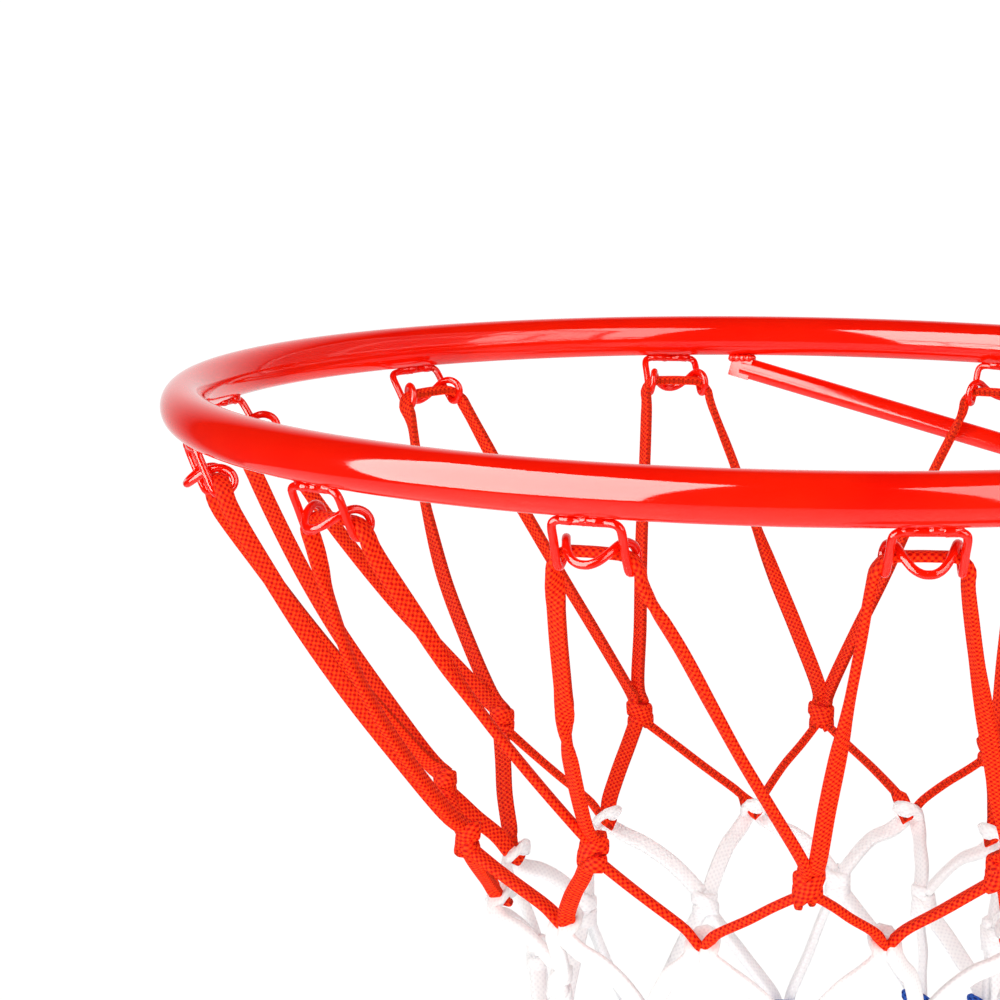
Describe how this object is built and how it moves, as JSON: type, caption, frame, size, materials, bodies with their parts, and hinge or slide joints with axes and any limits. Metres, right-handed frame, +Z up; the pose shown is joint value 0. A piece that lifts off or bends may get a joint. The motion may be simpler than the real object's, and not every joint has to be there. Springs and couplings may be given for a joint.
{
  "type": "basketball hoop",
  "caption": "Free-standing portable basketball hoop: fillable wheeled base, height-adjusting post, clear framed board, braced round ring with net hooks and a corded net.",
  "frame": {"origin": "on the floor, under the middle of the whole object's box", "axes": "+Z up, the hoop and the board's front face -Y, +X to the left of a player who faces the board"},
  "size_m": [1.106, 1.318, 2.903],
  "materials": {
    "powder_red": "glossy bright red powder coat on steel",
    "powder_black": "satin black powder coat on steel",
    "zinc_steel": "bright zinc-plated steel",
    "tank_plastic": "black moulded polyethylene with a fine texture",
    "wheel_plastic": "dark moulded wheel plastic",
    "guide_plastic": "natural acetal",
    "cap_plastic": "red moulded plastic",
    "tyre_rubber": "black rubber tyre",
    "clear_board": "clear polycarbonate",
    "board_film": "white printed film",
    "edge_rubber": "black rubber edging",
    "cord_red": "red braided polyester cord",
    "cord_white": "white braided polyester cord",
    "cord_blue": "blue braided polyester cord"
  },
  "bodies": {
    "base": {"base_tank": "tank_plastic", "wheel_axle": "zinc_steel", "axle_clips": "tank_plastic", "axle_caps": "zinc_steel", "pole_foot": "tank_plastic", "pole_lower": "powder_black", "base_bolt": "zinc_steel", "base_bolt_nut": "zinc_steel", "strut_clamp": "powder_black", "strut_left": "powder_black", "strut_right": "powder_black", "strut_bolt": "zinc_steel", "strut_bolt_nut": "zinc_steel", "strut_screws": "zinc_steel", "pole_bush": "guide_plastic", "pole_collar": "tank_plastic"},
    "head": {"pole_upper": "powder_black", "pole_slider": "guide_plastic", "pole_cap": "tank_plastic", "bracket_top": "powder_black", "bracket_bottom": "powder_black", "pole_bolts": "zinc_steel", "pole_bolt_nuts": "zinc_steel", "frame_rail_top": "powder_black", "frame_rail_bottom": "powder_black", "frame_side_left": "powder_black", "frame_side_right": "powder_black", "frame_stile_left": "powder_black", "frame_stile_right": "powder_black", "board_panel": "clear_board", "target_lines": "board_film", "board_edge": "edge_rubber", "panel_screws": "powder_black", "board_bolts": "powder_black", "board_bolt_nuts": "zinc_steel", "rim_plate": "powder_red", "rim_neck": "powder_red", "rim_ring": "powder_red", "brace_left": "powder_red", "brace_right": "powder_red", "net_hooks": "powder_red", "rim_bolts": "zinc_steel", "rim_bolt_washers": "zinc_steel", "rim_bolt_nuts": "zinc_steel", "net_red": "cord_red", "net_white": "cord_white", "net_blue": "cord_blue"},
    "wheel_left": {"wheel_hub_left": "wheel_plastic", "tyre_left": "tyre_rubber"},
    "wheel_right": {"wheel_hub_right": "wheel_plastic", "tyre_right": "tyre_rubber"},
    "cap": {"fill_cap": "cap_plastic"},
    "knob": {"height_knob": "cap_plastic"}
  },
  "joints": [
    {"name": "height", "type": "slide", "parent": "base", "child": "head", "axis": [0, 0, 1], "range_m": [0, 0.75]},
    {"name": "wheel_left_spin", "type": "hinge", "parent": "base", "child": "wheel_left", "pos_m": [-0.292, -0.118, 0.062], "axis": [1, 0, 0], "continuous": true},
    {"name": "wheel_right_spin", "type": "hinge", "parent": "base", "child": "wheel_right", "pos_m": [0.292, -0.118, 0.062], "axis": [1, 0, 0], "continuous": true},
    {"name": "fill_cap_lift", "type": "slide", "parent": "base", "child": "cap", "axis": [0, 0, 1], "range_m": [0, 0.08]},
    {"name": "height_knob_turn", "type": "hinge", "parent": "base", "child": "knob", "pos_m": [0, 0.16, 1.672], "axis": [0, 1, 0], "range_deg": [0, 720]}
  ]
}
